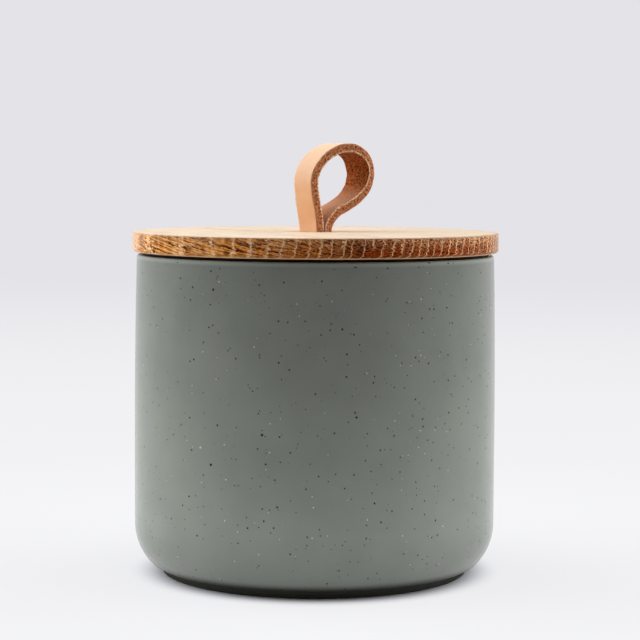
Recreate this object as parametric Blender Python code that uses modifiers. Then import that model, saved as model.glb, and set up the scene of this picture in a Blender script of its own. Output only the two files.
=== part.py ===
"""Stoneware kitchen canister with an oak lid, a silicone seal and a leather lifting loop.

The jar stands on its foot ring at z = 0 with its axis on Z. The lid's slot runs along Y, and
the leather loop stands in the XZ plane and leans towards +X. All sizes are in metres.
"""

import math

import bmesh
import bpy
from mathutils import Matrix

# Driving sizes of the jar
jar_radius = 0.0720
jar_height = 0.1268
jar_wall = 0.0055

# Driving sizes of the lid and of the leather strap
lid_overhang = 0.0008
lid_edge = 0.0079
plug_depth = 0.0094
strap_width = 0.0120
strap_thickness = 0.0038
loop_height = 0.0352
loop_reach = 0.0224

# The running gap left between pieces that touch on the real canister
fit_gap = 0.0003

# How far a cutter runs past the face that it opens
overrun = 0.0020

# Facets round a turned piece
turn_steps = 72
small_turn_steps = 24


def clear_scene():
    for obj in list(bpy.data.objects):
        bpy.data.objects.remove(obj, do_unlink=True)


def new_collection(name):
    made = bpy.data.collections.new(name)
    bpy.context.scene.collection.children.link(made)
    return made


def principled(name, colour, roughness, metallic=0.0):
    made = bpy.data.materials.new(name)
    made.use_nodes = True
    shader = made.node_tree.nodes["Principled BSDF"]
    shader.inputs["Base Color"].default_value = (*colour, 1.0)
    shader.inputs["Roughness"].default_value = roughness
    shader.inputs["Metallic"].default_value = metallic
    return made


def place(name, data, material=None, at=(0.0, 0.0, 0.0), parent=None):
    """Links data as an object of the canister, at a place in its parent's frame."""
    obj = bpy.data.objects.new(name, data)
    canister.objects.link(obj)
    obj.location = at
    obj.parent = parent
    if material:
        data.materials.append(material)
    return obj


def arc(centre, radii, start, end, steps):
    """Points along an elliptical arc, its angles in degrees, both ends included."""
    points = []
    for step in range(steps + 1):
        angle = math.radians(start + (end - start) * step / steps)
        points.append((centre[0] + radii[0] * math.cos(angle), centre[1] + radii[1] * math.sin(angle)))
    return points


def turned_mesh(name, profile, closed):
    """The (radius, height) points of a turned piece's section, as a mesh of edges."""
    mesh = bpy.data.meshes.new(name)
    edges = [(i, i + 1) for i in range(len(profile) - 1)]
    if closed:
        edges.append((len(profile) - 1, 0))
    mesh.from_pydata([(radius, 0.0, height) for radius, height in profile], edges, [])
    return mesh


def turned(name, profile, material, steps=turn_steps, closed=False, at=(0.0, 0.0, 0.0), parent=None):
    """Turns a section about Z: open sections start and end on the axis, closed ones are rings."""
    obj = place(name, turned_mesh(name, profile, closed), material, at, parent)
    screw = obj.modifiers.new("Turn", "SCREW")
    screw.steps = steps
    screw.render_steps = steps
    screw.use_merge_vertices = True
    screw.merge_threshold = 0.00001
    screw.use_smooth_shade = True
    return obj


def as_mesh(curve_object):
    """Replaces a curve object by the closed mesh of its evaluated shape."""
    bpy.context.view_layer.update()
    graph = bpy.context.evaluated_depsgraph_get()
    mesh = bpy.data.meshes.new_from_object(curve_object.evaluated_get(graph))
    shape = bmesh.new()
    shape.from_mesh(mesh)
    bmesh.ops.remove_doubles(shape, verts=shape.verts, dist=weld_distance)
    bmesh.ops.recalc_face_normals(shape, faces=shape.faces)
    shape.to_mesh(mesh)
    shape.free()
    obj = bpy.data.objects.new(curve_object.name + "_solid", mesh)
    for owner in curve_object.users_collection:
        owner.objects.link(obj)
    obj.parent = curve_object.parent
    obj.matrix_world = curve_object.matrix_world.copy()
    name = curve_object.name
    bpy.data.objects.remove(curve_object, do_unlink=True)
    obj.name = name
    return obj


def outline_prism(name, outline, thickness, at, parent):
    """A flat outline drawn in the XZ plane and made thick along Y."""
    curve = bpy.data.curves.new(name, "CURVE")
    curve.dimensions = "2D"
    curve.fill_mode = "BOTH"
    curve.extrude = thickness / 2
    spline = curve.splines.new("POLY")
    spline.points.add(len(outline) - 1)
    for point, (x, z) in zip(spline.points, outline):
        point.co = (x, z, 0.0, 1.0)
    spline.use_cyclic_u = True
    obj = place(name, curve, at=at, parent=parent)
    obj.rotation_euler = (math.radians(90), 0.0, 0.0)
    return as_mesh(obj)


def cylinder(name, radius, low, high, at, parent):
    """An upright round cutter between two heights."""
    shape = bmesh.new()
    bmesh.ops.create_cone(
        shape,
        cap_ends=True,
        segments=small_turn_steps,
        radius1=radius,
        radius2=radius,
        depth=high - low,
        matrix=Matrix.Translation((0.0, 0.0, (low + high) / 2)),
    )
    mesh = bpy.data.meshes.new(name)
    shape.to_mesh(mesh)
    shape.free()
    return place(name, mesh, at=at, parent=parent)


def cut(obj, cutter):
    """Takes the cutter out of the piece and puts the cutter among the hidden ones."""
    boolean = obj.modifiers.new(cutter.name, "BOOLEAN")
    boolean.operation = "DIFFERENCE"
    boolean.solver = "EXACT"
    boolean.object = cutter
    canister.objects.unlink(cutter)
    cutters.objects.link(cutter)
    cutter.hide_render = True
    cutter.display_type = "WIRE"


# Points nearer to each other than this are one point on a welded mesh
weld_distance = 0.000005

clear_scene()
canister = new_collection("kitchen_canister")
cutters = new_collection("cutters")

stoneware = principled("glazed_stoneware", (0.150, 0.162, 0.138), 0.42)
oak = principled("oiled_oak", (0.560, 0.330, 0.165), 0.50)
silicone = principled("grey_silicone", (0.050, 0.050, 0.048), 0.60)
leather = principled("veg_tanned_leather", (0.700, 0.400, 0.210), 0.55)
brass = principled("brass", (0.720, 0.500, 0.220), 0.30, 1.0)

# Heights of the stack, from the rim up to the top of the lid
lip_thickness = 0.0005
lip_under = jar_height + fit_gap
lip_top = lip_under + lip_thickness
lid_under = lip_top + fit_gap
lid_top = lid_under + lid_edge
plug_bottom = lid_under - plug_depth

# The jar is thrown with a thick wall that draws in a little over its upper half. A soft corner
# ends in an edge just above the table, and the foot ring stands back under that edge, so that a
# dark line runs round the base. The ring's flat land is all that touches the table.
mouth_draw = 0.0009
draw_height = 0.0700
rim_round = 0.0010
corner_run = 0.0170
corner_rise = 0.0200
inner_corner = 0.0140
floor_thickness = 0.0052
foot_height = 0.0034
foot_undercut = 0.0034
foot_ring_width = 0.0060
foot_land_round = 0.0007
rim_radius = jar_radius - mouth_draw
mouth_radius = rim_radius - jar_wall
corner_centre = (jar_radius - corner_run, corner_rise)
corner_end = -math.degrees(math.asin(1 - foot_height / corner_rise))
foot_radius = corner_centre[0] + corner_run * math.cos(math.radians(corner_end)) - foot_undercut


def jar():
    inner_floor = foot_height + floor_thickness
    rim_centre = jar_height - rim_round
    draw_start = jar_height - draw_height
    land_rounds = (foot_land_round, foot_land_round)
    ring_inner = foot_radius - foot_ring_width
    profile = [(0.0, inner_floor)]
    profile += arc(
        (mouth_radius - inner_corner, inner_floor + inner_corner), (inner_corner, inner_corner), -90, 0, 8
    )
    profile += arc((mouth_radius + rim_round, rim_centre), (rim_round, rim_round), 180, 90, 3)
    profile += arc((rim_radius - rim_round, rim_centre), (rim_round, rim_round), 90, 0, 3)
    wall_steps = 7
    for step in range(1, wall_steps + 1):
        drop_share = step / wall_steps
        height = rim_centre + (draw_start - rim_centre) * drop_share
        profile.append((jar_radius - mouth_draw * ((height - draw_start) / draw_height) ** 2, height))
    profile += arc(corner_centre, (corner_run, corner_rise), 0, corner_end, 10)
    profile.append((foot_radius, foot_height))
    profile += arc((foot_radius - foot_land_round, foot_land_round), land_rounds, 0, -90, 2)
    profile += arc((ring_inner + foot_land_round, foot_land_round), land_rounds, 270, 180, 2)
    profile += [(ring_inner, foot_height), (0.0, foot_height)]
    return turned("jar", profile, stoneware)


# The seal is a moulded silicone ring. Its thin lip lies between lid and rim, its sleeve grips the
# plug above the plug's bead, and its fins wipe the mouth of the jar.
lip_cover = 0.0034
sleeve_thickness = 0.0016
seal_space = 0.0050
bead_height = 0.0020
bead_reach = 0.0009
fin_count = 3
fin_thickness = 0.0006
fin_lift = 0.0005
plug_radius = mouth_radius - seal_space
sleeve_inner = plug_radius + fit_gap
sleeve_outer = sleeve_inner + sleeve_thickness
sleeve_bottom = plug_bottom + bead_height + fit_gap


def seal_ring():
    fin_tip = mouth_radius - fit_gap
    fin_pitch = (lip_under - sleeve_bottom) / (fin_count + 0.5)
    profile = [(sleeve_inner, lip_top), (mouth_radius + lip_cover, lip_top)]
    profile += [(mouth_radius + lip_cover, lip_under), (sleeve_outer, lip_under)]
    for fin in range(1, fin_count + 1):
        root = lip_under - fin * fin_pitch
        profile.append((sleeve_outer, root + fin_thickness))
        profile.append((fin_tip, root + fin_lift + fin_thickness / 2))
        profile.append((fin_tip, root + fin_lift - fin_thickness / 2))
        profile.append((sleeve_outer, root - fin_thickness))
    profile += [(sleeve_outer, sleeve_bottom), (sleeve_inner, sleeve_bottom)]
    return turned("seal_ring", profile, silicone, closed=True)


# The strap's two tails pass down the slot, bend over its rounded lower edges into a channel under
# the plug, and are each held there by a screw through a cup washer.
slot_edge_round = 0.0015
tail_reach = 0.0260
tail_end_margin = 0.0085
washer_radius = 0.0050
washer_height = 0.0016
washer_rim = 0.0003
washer_crest = 0.0003
screw_shank_radius = 0.0017
screw_head_edge = 0.0002
screw_head_dome = 0.0002
screw_bite_share = 0.72
channel_depth = 3 * fit_gap + strap_thickness + washer_height + screw_head_edge + screw_head_dome
channel_ceiling = plug_bottom + channel_depth
leg_centre = (fit_gap + strap_thickness) / 2
slot_half = leg_centre + strap_thickness / 2 + fit_gap
slot_length = strap_width + 2 * fit_gap
screw_place = tail_reach - tail_end_margin
screw_hole_radius = screw_shank_radius + fit_gap
washer_top = channel_ceiling - strap_thickness - 2 * fit_gap
screw_tip = channel_ceiling + screw_bite_share * (lid_top - channel_ceiling)

# The lid is one turned oak disc, with a plug that carries the seal below its overhanging edge
top_edge_round = 0.0006
under_edge_round = 0.0014
plug_edge_round = 0.0008
lid_radius = jar_radius + lid_overhang


def channel_outline():
    """The slot and the channel under it as one outline, with the slot's lower edges rounded."""
    channel_half = tail_reach + 2 * fit_gap
    bend_centre = (slot_half + slot_edge_round, channel_ceiling + slot_edge_round)
    round_over = arc(bend_centre, (slot_edge_round, slot_edge_round), 180, 270, 4)
    right = [(slot_half, lid_top + overrun), *round_over]
    right += [(channel_half, channel_ceiling), (channel_half, plug_bottom - overrun)]
    left = [(-x, z) for x, z in reversed(right)]
    return right + left


def lid_board(lid_axis):
    drop = lid_axis.location.z
    rounds = (under_edge_round, under_edge_round)
    profile = [(0.0, lid_top)]
    profile += arc(
        (lid_radius - top_edge_round, lid_top - top_edge_round), (top_edge_round, top_edge_round), 90, 0, 3
    )
    profile += arc((lid_radius - under_edge_round, lid_under + under_edge_round), rounds, 0, -90, 4)
    profile += [(plug_radius, lid_under), (plug_radius, plug_bottom + bead_height)]
    profile.append((plug_radius + bead_reach, plug_bottom + bead_height))
    profile += arc(
        (plug_radius + bead_reach - plug_edge_round, plug_bottom + plug_edge_round),
        (plug_edge_round, plug_edge_round),
        0,
        -90,
        3,
    )
    profile.append((0.0, plug_bottom))
    profile = [(radius, height - drop) for radius, height in profile]
    board = turned("lid_board", profile, oak, parent=lid_axis)
    outline = [(x, z - drop) for x, z in channel_outline()]
    cut(board, outline_prism("channel_cutter", outline, slot_length, (0.0, 0.0, 0.0), lid_axis))
    for side, sign in (("left", -1), ("right", 1)):
        low = channel_ceiling - drop - overrun
        high = screw_tip + fit_gap - drop
        at = (sign * screw_place, 0.0, 0.0)
        cut(board, cylinder("pilot_cutter_" + side, screw_hole_radius, low, high, at, lid_axis))
    return board


# The strap's section is a flat bar of leather with its cut edges burnished round
edge_round = 0.0006


def strap_section():
    curve = bpy.data.curves.new("strap_section", "CURVE")
    curve.dimensions = "2D"
    half_thickness = strap_thickness / 2
    half_width = strap_width / 2
    corners = ((1, 1, 0), (-1, 1, 90), (-1, -1, 180), (1, -1, 270))
    outline = []
    for across, along, start in corners:
        centre = (across * (half_thickness - edge_round), along * (half_width - edge_round))
        outline += arc(centre, (edge_round, edge_round), start, start + 90, 2)
    spline = curve.splines.new("POLY")
    spline.points.add(len(outline) - 1)
    for point, (x, y) in zip(spline.points, outline):
        point.co = (x, y, 0.0, 1.0)
    spline.use_cyclic_u = True
    section = bpy.data.objects.new("strap_section", curve)
    cutters.objects.link(section)
    section.hide_render = True
    section.display_type = "WIRE"
    return section


def strap_curve(name, section):
    curve = bpy.data.curves.new(name, "CURVE")
    curve.dimensions = "3D"
    curve.twist_mode = "Z_UP"
    curve.bevel_mode = "OBJECT"
    curve.bevel_object = section
    curve.use_fill_caps = True
    return curve


# The loop's middle line, as shares of loop_reach across and of loop_height up from the lid, with
# the strap's twist in degrees. The leather stands up from the slot, swells a little to the left,
# crosses over at the top, twists as it turns down and comes back in a low sweep from the right.
loop_shares = (
    (-0.139, 0.238, -2),
    (-0.194, 0.430, 1),
    (-0.199, 0.625, 1),
    (-0.041, 0.790, -1),
    (0.210, 0.901, -1),
    (0.507, 0.946, 0),
    (0.801, 0.897, 5),
    (0.979, 0.744, 16),
    (0.975, 0.551, 11),
    (0.798, 0.394, 2),
    (0.539, 0.290, 0),
    (0.266, 0.200, 0),
)
loop_foot_share = 0.045

# The leather bends just above the lid. The loop turns there, and its foot is cut to clear the lid
# at the greatest lean either way.
bend_height = 0.0020
lean_angle = 25


def foot_outline():
    """What is cut from the loop's foot, about the bend: a round nose between two slopes."""
    nose = bend_height - fit_gap
    spread = strap_thickness + 2 * fit_gap + overrun
    low = -(bend_height + overrun + strap_thickness)
    slope = math.tan(math.radians(lean_angle))
    rounded = arc((0.0, 0.0), (nose, nose), -90 - lean_angle, -90 + lean_angle, 4)
    start_x, start_z = rounded[-1]
    side_z = start_z + (spread - start_x) * slope
    return [(-spread, low), (-spread, side_z), *rounded, (spread, side_z), (spread, low)]


def strap_loop(lid_axis, section):
    bend = lid_top + bend_height
    curve = strap_curve("strap_loop", section)
    curve.resolution_u = 5
    foot = (leg_centre, loop_foot_share * loop_height)
    start = (leg_centre, -fit_gap)
    points = [(-start[0], start[1], 0), (-foot[0], foot[1], 0)]
    points += [(across * loop_reach, up * loop_height, twist) for across, up, twist in loop_shares]
    points += [(foot[0], foot[1], 0), (start[0], start[1], 0)]
    spline = curve.splines.new("BEZIER")
    spline.bezier_points.add(len(points) - 1)
    for point, (x, z, twist) in zip(spline.bezier_points, points):
        point.co = (x, z - bend_height, 0.0)
        point.handle_left_type = "AUTO"
        point.handle_right_type = "AUTO"
        point.tilt = -math.radians(twist)
    at = (0.0, 0.0, bend - lid_axis.location.z)
    loop = place("strap_loop", curve, leather, at, lid_axis)
    loop.rotation_euler = (math.radians(90), 0.0, 0.0)
    loop = as_mesh(loop)
    cutter_width = strap_width + 2 * overrun
    cut(loop, outline_prism("foot_cutter", foot_outline(), cutter_width, at, lid_axis))
    return loop


def strap_tail(side, sign, lid_axis, section):
    drop = lid_axis.location.z
    bend_radius = slot_edge_round + fit_gap + strap_thickness / 2
    bend_centre = (slot_half + slot_edge_round, channel_ceiling + slot_edge_round)
    path = [(leg_centre, lid_top)]
    path += arc(bend_centre, (bend_radius, bend_radius), 180, 270, 6)
    path.append((tail_reach, channel_ceiling - fit_gap - strap_thickness / 2))
    curve = strap_curve("strap_tail_" + side, section)
    spline = curve.splines.new("POLY")
    spline.points.add(len(path) - 1)
    for point, (x, z) in zip(spline.points, path):
        point.co = (sign * x, z - drop, 0.0, 1.0)
    tail = place("strap_tail_" + side, curve, leather, parent=lid_axis)
    tail.rotation_euler = (math.radians(90), 0.0, 0.0)
    tail = as_mesh(tail)
    low = washer_top - drop - overrun
    high = channel_ceiling - drop + overrun
    at = (sign * screw_place, 0.0, 0.0)
    cut(tail, cylinder("tail_hole_cutter_" + side, screw_hole_radius, low, high, at, lid_axis))
    return tail


# The cup washer's seat and the screw's head share one 45 degree cone, a running gap apart
seat_gap = fit_gap * math.sqrt(2)
seat_radius = screw_hole_radius + washer_height - washer_crest


def cup_washer(side, sign, lid_axis):
    crest = seat_radius + washer_crest
    profile = [(washer_radius, 0.0), (washer_radius, -washer_rim), (crest, -washer_height)]
    profile += [(seat_radius, -washer_height), (screw_hole_radius, -washer_crest), (screw_hole_radius, 0.0)]
    at = (sign * screw_place, 0.0, washer_top - lid_axis.location.z)
    return turned(
        "cup_washer_" + side, profile, brass, small_turn_steps, closed=True, at=at, parent=lid_axis
    )


def tail_screw(side, sign, lid_axis):
    length = screw_tip - washer_top
    point_length = 2 * screw_shank_radius
    head_radius = seat_radius - seat_gap
    cone_top = head_radius - screw_shank_radius - washer_height
    profile = [(0.0, length), (screw_shank_radius, length - point_length)]
    profile += [(screw_shank_radius, cone_top), (head_radius, -washer_height)]
    profile.append((head_radius, -washer_height - screw_head_edge))
    dome = arc((0.0, -washer_height - screw_head_edge), (head_radius, screw_head_dome), 0, -90, 4)
    profile += dome[1:-1]
    profile.append((0.0, dome[-1][1]))
    at = (sign * screw_place, 0.0, washer_top - lid_axis.location.z)
    return turned("tail_screw_" + side, profile, brass, small_turn_steps, at=at, parent=lid_axis)


def build():
    jar()
    seal_ring()
    lid_axis = place("lid_axis", None, at=(0.0, 0.0, lid_under))
    bpy.context.view_layer.update()
    lid_board(lid_axis)
    section = strap_section()
    strap_loop(lid_axis, section)
    for side, sign in (("left", -1), ("right", 1)):
        strap_tail(side, sign, lid_axis, section)
        cup_washer(side, sign, lid_axis)
        tail_screw(side, sign, lid_axis)


build()
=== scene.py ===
"""The looks of a stoneware kitchen canister: satin glaze, oiled oak lid, leather loop.

Sizes are in metres in the frame of the canister: the jar stands at z = 0 with its axis on Z, the
lid's fibres and its slot run along Y, and the loop leans towards +X.
"""

import math
from functools import partial

import bmesh
import bpy
import numpy as np
from mathutils import Matrix, Vector


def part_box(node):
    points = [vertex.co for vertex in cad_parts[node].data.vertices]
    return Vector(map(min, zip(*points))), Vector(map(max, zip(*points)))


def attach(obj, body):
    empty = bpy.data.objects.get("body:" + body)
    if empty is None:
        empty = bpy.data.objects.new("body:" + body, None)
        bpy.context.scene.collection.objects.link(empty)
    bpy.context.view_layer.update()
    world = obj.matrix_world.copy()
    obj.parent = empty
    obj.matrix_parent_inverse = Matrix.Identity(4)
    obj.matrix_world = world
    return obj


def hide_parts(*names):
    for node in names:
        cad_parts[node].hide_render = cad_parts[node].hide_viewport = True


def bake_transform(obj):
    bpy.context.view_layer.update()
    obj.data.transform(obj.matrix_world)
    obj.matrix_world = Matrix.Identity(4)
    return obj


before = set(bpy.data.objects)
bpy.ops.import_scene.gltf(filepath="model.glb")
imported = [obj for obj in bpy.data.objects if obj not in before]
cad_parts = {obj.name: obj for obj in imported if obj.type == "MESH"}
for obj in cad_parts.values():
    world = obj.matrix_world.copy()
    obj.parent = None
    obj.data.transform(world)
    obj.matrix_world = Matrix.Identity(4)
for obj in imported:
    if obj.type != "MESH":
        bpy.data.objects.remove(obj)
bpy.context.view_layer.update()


# The jar: thrown stoneware, bisque fired, dipped in a satin sage glaze and fired again. The foot
# ring is wiped bare before the glaze firing. Iron in the clay bleeds through as dark specks.
MM = 0.001
jar_low, jar_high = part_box("jar")
jar_radius = jar_high.x
jar_height = jar_high.z
jar_wall = 5.5 * MM
mouth_draw = 0.9 * MM
draw_height = 70.0 * MM
rim_outer_round = 0.9 * MM
rim_inner_round = 1.3 * MM
corner_run = 17.0 * MM
corner_rise = 20.0 * MM
inner_corner = 14.0 * MM
floor_thickness = 5.2 * MM
foot_height = 3.4 * MM
foot_undercut = 3.4 * MM
foot_ring_width = 6.0 * MM
foot_round = 0.9 * MM
glaze_roll = 0.8 * MM


def linear(hex_colour):
    """A written sRGB colour as the linear RGBA that shaders and lamps take."""
    channels = [int(hex_colour[i : i + 2], 16) / 255 for i in (1, 3, 5)]
    return [c / 12.92 if c <= 0.04045 else ((c + 0.055) / 1.055) ** 2.4 for c in channels] + [1.0]


def add_node(tree, kind, inputs=None, **settings):
    """Adds a node, sets its options, fills or links its inputs, and gives its first live output. The
    kind of a shader node leaves out its first word, ShaderNode. Colours may be given in sRGB hex."""
    whole = kind.startswith(("GeometryNode", "NodeGroup"))
    node = tree.nodes.new(kind if whole else "ShaderNode" + kind)
    for name, value in settings.items():
        setattr(node, name, value)
    for key, value in (inputs or {}).items():
        if isinstance(value, bpy.types.NodeSocket):
            tree.links.new(value, node.inputs[key])
        else:
            written = isinstance(value, str) and value.startswith("#")
            node.inputs[key].default_value = linear(value) if written else value
    live = [socket for socket in node.outputs if socket.enabled]
    return live[0] if live else node


def arc(centre, radius, start, end, steps):
    """Points along an arc, both ends included, its angles in degrees. An ellipse has two radii."""
    radii = radius if isinstance(radius, tuple) else (radius, radius)
    points = []
    for step in range(steps + 1):
        angle = math.radians(start + (end - start) * step / steps)
        points.append((centre[0] + radii[0] * math.cos(angle), centre[1] + radii[1] * math.sin(angle)))
    return points


def new_tree(name, inputs):
    """A tree that makes a mesh, what adds its nodes, its inputs' identifiers, and its inputs."""
    tree = bpy.data.node_groups.new(name, "GeometryNodeTree")
    sockets = {}
    for label, kind in inputs.items():
        socket = tree.interface.new_socket(label, in_out="INPUT", socket_type="NodeSocket" + kind)
        sockets[label] = socket.identifier
    tree.interface.new_socket("Mesh", in_out="OUTPUT", socket_type="NodeSocketGeometry")
    return tree, partial(add_node, tree), sockets, tree.nodes.new("NodeGroupInput").outputs


def new_object(name, data):
    """A new object in the scene that shows a mesh, a curve or a camera."""
    made = bpy.data.objects.new(name, data)
    bpy.context.scene.collection.objects.link(made)
    return made


def use_tree(source, tree, sockets, values):
    """Puts a tree on an object and sets its inputs, before the object is first evaluated."""
    modifier = source.modifiers.new(tree.name, "NODES")
    modifier.node_group = tree
    for label, value in values.items():
        modifier[sockets[label]] = value


def turning_tree():
    """Turns a wire section round Z, welds its poles and gives it its material."""
    inputs = {"Section": "Geometry", "Steps": "Int", "Guide Radius": "Float", "Weld": "Float"}
    tree, add, sockets, given = new_tree("turn_section", inputs | {"Material": "Material"})
    ring = {"Resolution": given["Steps"], "Radius": given["Guide Radius"]}
    ring = add("GeometryNodeCurvePrimitiveCircle", ring)
    ring = add("GeometryNodeSetCurveNormal", {"Curve": ring}, mode="Z_UP")
    section = add("GeometryNodeMeshToCurve", {"Mesh": given["Section"]})
    skin = add("GeometryNodeCurveToMesh", {"Curve": ring, "Profile Curve": section})
    skin = add("GeometryNodeMergeByDistance", {"Geometry": skin, "Distance": given["Weld"]})
    skin = add("GeometryNodeSetShadeSmooth", {"Geometry": skin})
    skin = add("GeometryNodeRealizeInstances", {"Geometry": skin})
    skin = add("GeometryNodeSetMaterial", {"Geometry": skin, "Material": given["Material"]})
    add("NodeGroupOutput", {"Mesh": skin})
    return tree, sockets


turning, turning_inputs = turning_tree()
weld = 0.002 * MM
sharp_angle = 32
steps_round = 288
steps_small = 64


def plain_mesh(source, name):
    """The evaluated mesh of an object as a new object of its own, its faces pointing outwards."""
    bpy.context.view_layer.update()
    graph = bpy.context.evaluated_depsgraph_get()
    mesh = bpy.data.meshes.new_from_object(source.evaluated_get(graph), depsgraph=graph)
    source.modifiers.clear()
    bpy.data.objects.remove(source, do_unlink=True)
    shape = bmesh.new()
    shape.from_mesh(mesh)
    bmesh.ops.recalc_face_normals(shape, faces=shape.faces)
    shape.to_mesh(mesh)
    shape.free()
    mesh.shade_smooth()
    mesh.set_sharp_from_angle(angle=math.radians(sharp_angle))
    return new_object(name, mesh)


def turned(name, section, material, steps, closed=False, at=(0.0, 0.0)):
    """Turns (radius, height) points about an upright axis through a place in X and Y."""
    guide_radius = max(radius for radius, _ in section)
    edges = [(i, i + 1) for i in range(len(section) - 1)]
    if closed:
        edges.append((len(section) - 1, 0))
    wire = bpy.data.meshes.new(name + "_section")
    wire.from_pydata([(radius - guide_radius, -height, 0.0) for radius, height in section], edges, [])
    source = new_object(name + "_section", wire)
    values = {"Steps": steps, "Guide Radius": guide_radius, "Weld": weld, "Material": material}
    use_tree(source, turning, turning_inputs, values)
    piece = plain_mesh(source, name)
    piece.data.transform(Matrix.Translation((*at, 0.0)))
    return piece


def new_material(name):
    """A material, what adds its nodes, and the place on its piece in millimetres."""
    material = bpy.data.materials.new(name)
    material.use_nodes = True
    material.node_tree.nodes.clear()
    add = partial(add_node, material.node_tree)
    place = add("TexCoord").node.outputs["Object"]
    return material, add, add("VectorMath", {0: place, "Scale": 1 / MM}, operation="SCALE")


# Options that many nodes take: a Map Range that eases in and out, a Mix of colours, a product, and
# a product with a third value added.
eased = {"interpolation_type": "SMOOTHSTEP"}
rgba = {"data_type": "RGBA"}
times = {"operation": "MULTIPLY"}
times_plus = {"operation": "MULTIPLY_ADD"}


def satin_sage_glaze():
    """Satin glaze over speckled stoneware. It gives the eye a broad soft sheen, a faint cloudiness,
    iron specks of 0.3 to 1.2 mm, fewer pale feldspar specks and a bare foot, with painted shade low
    down and on the foot."""
    material, add, mm = new_material("satin_sage_glaze_on_stoneware")
    cloud = add("TexNoise", {"Vector": mm, "Scale": 1 / 21, "Detail": 3.0})
    fine = add("TexNoise", {"Vector": mm, "Scale": 1 / 1.4, "Detail": 2.0})
    cloud = add("MapRange", {0: cloud, 1: 0.3, 2: 0.7})
    height = add("SeparateXYZ", {0: mm}).node.outputs["Z"]
    # The glaze is painted a little darker towards the rim: painted shade, as less light reaches the
    # upper wall.
    painted_shade_upwards = add("MapRange", {0: height, 1: 120.0, 2: 15.0})
    dark_cloud = add("Mix", {0: painted_shade_upwards, 6: "#696E63", 7: "#777C71"}, **rgba)
    pale_cloud = add("Mix", {0: painted_shade_upwards, 6: "#717669", 7: "#7F8479"}, **rgba)
    colour = add("Mix", {0: cloud, 6: dark_cloud, 7: pale_cloud}, **rgba)
    # It breaks paler over the edge of the rim, and the paler band is also a painted highlight where the
    # rounded rim catches the light.
    top = jar_height / MM
    rim = add("MapRange", {0: height, 1: top - 2.2, 2: top - 0.9, 3: 0.0, 4: 0.4}, **eased)
    colour = add("Mix", {0: rim, 6: colour, 7: "#A3A89E"}, **rgba)
    fine_share = add("MapRange", {0: fine, 1: 0.35, 2: 0.65, 3: 0.0, 4: 0.08})
    colour = add("Mix", {0: fine_share, 6: colour, 7: "#7C8174"}, **rgba)
    marks = 0.0
    # Cell size and the smallest and largest speck radius, all in mm, then the share of the cells
    # that hold a speck, the speck's colour and how strongly it shows.
    for cell, small, large, held, tint, strength in (
        (2.6, 0.15, 0.31, 0.72, "#12110D", 0.95),
        (3.3, 0.30, 0.43, 0.74, "#020201", 1.0),
        (9.5, 0.44, 0.58, 0.42, "#020201", 1.0),
        (3.6, 0.18, 0.33, 0.50, "#C0C1B7", 0.75),
        (11.0, 0.36, 0.52, 0.36, "#B9B9AF", 0.75),
    ):
        spots = add("TexVoronoi", {"Vector": mm, "Scale": 1 / cell})
        draw = add("SeparateColor", {0: spots.node.outputs["Color"]}).node
        reach = add("MapRange", {0: draw.outputs[0], 3: small / cell, 4: large / cell})
        edge = add("Math", {0: reach, 1: 0.85}, **times)
        speck = add("MapRange", {0: spots, 1: edge, 2: reach, 3: strength, 4: 0.0}, **eased)
        there = add("Math", {0: draw.outputs[1], 1: held}, operation="LESS_THAN")
        speck = add("Math", {0: speck, 1: there}, **times)
        colour = add("Mix", {0: speck, 6: colour, 7: tint}, **rgba)
        marks = add("Math", {0: marks, 1: speck})
    # Painted shade low down, where the canister's shade falls near the floor: the glaze is painted
    # darker from 25 mm down, and nearly black over the last few millimetres above the foot.
    painted_foot_shade = add("MapRange", {0: height, 1: 3.6, 2: 6.8, 3: 0.92, 4: 0.0}, **eased)
    painted_low_shade = add("MapRange", {0: height, 1: 25.0, 2: 5.0, 3: 0.0, 4: 0.52})
    colour = add("Mix", {0: painted_low_shade, 6: colour, 7: "#4D5147"}, **rgba)
    colour = add("Mix", {0: painted_foot_shade, 6: colour, 7: "#23251C"}, **rgba)
    wipe = add("TexNoise", {"Vector": mm, "Scale": 1 / 6, "Detail": 3.0})
    wipe = add("Math", {0: wipe, 1: 0.9, 2: height}, **times_plus)
    bare = add("MapRange", {0: wipe, 1: 2.3, 2: 2.6, 3: 1.0, 4: 0.0}, **eased)
    grog = add("TexNoise", {"Vector": mm, "Scale": 1 / 0.7, "Detail": 4.0})
    # The bare clay is painted nearly black: painted shade in the recess under the jar.
    clay = add("Mix", {0: grog, 6: "#22211C", 7: "#3B3931"}, **rgba)
    colour = add("Mix", {0: bare, 6: colour, 7: clay}, **rgba)
    roughness = add("MapRange", {0: fine, 1: 0.3, 2: 0.7, 3: 0.19, 4: 0.22})
    roughness = add("Mix", {0: bare, 2: roughness, 3: 0.88}, data_type="FLOAT")
    matt = add("Math", {0: bare, 1: painted_foot_shade}, operation="MAXIMUM")
    matt = add("MapRange", {0: matt, 3: 0.5, 4: 0.12})
    swell = add("Math", {0: cloud, 1: 0.05}, **times)
    swell = add("Math", {0: fine, 1: 0.004, 2: swell}, **times_plus)
    swell = add("Math", {0: marks, 1: -0.02, 2: swell}, **times_plus)
    rough_clay = add("Math", {0: grog, 1: bare}, **times)
    swell = add("Math", {0: rough_clay, 1: 0.12, 2: swell}, **times_plus)
    relief = add("Bump", {"Strength": 1.0, "Distance": MM, "Height": swell})
    looks = {"Base Color": colour, "Roughness": roughness, "IOR": 1.5, "Specular IOR Level": matt}
    looks |= {"Normal": relief}
    add("OutputMaterial", {"Surface": add("BsdfPrincipled", looks)})
    return material


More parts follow.
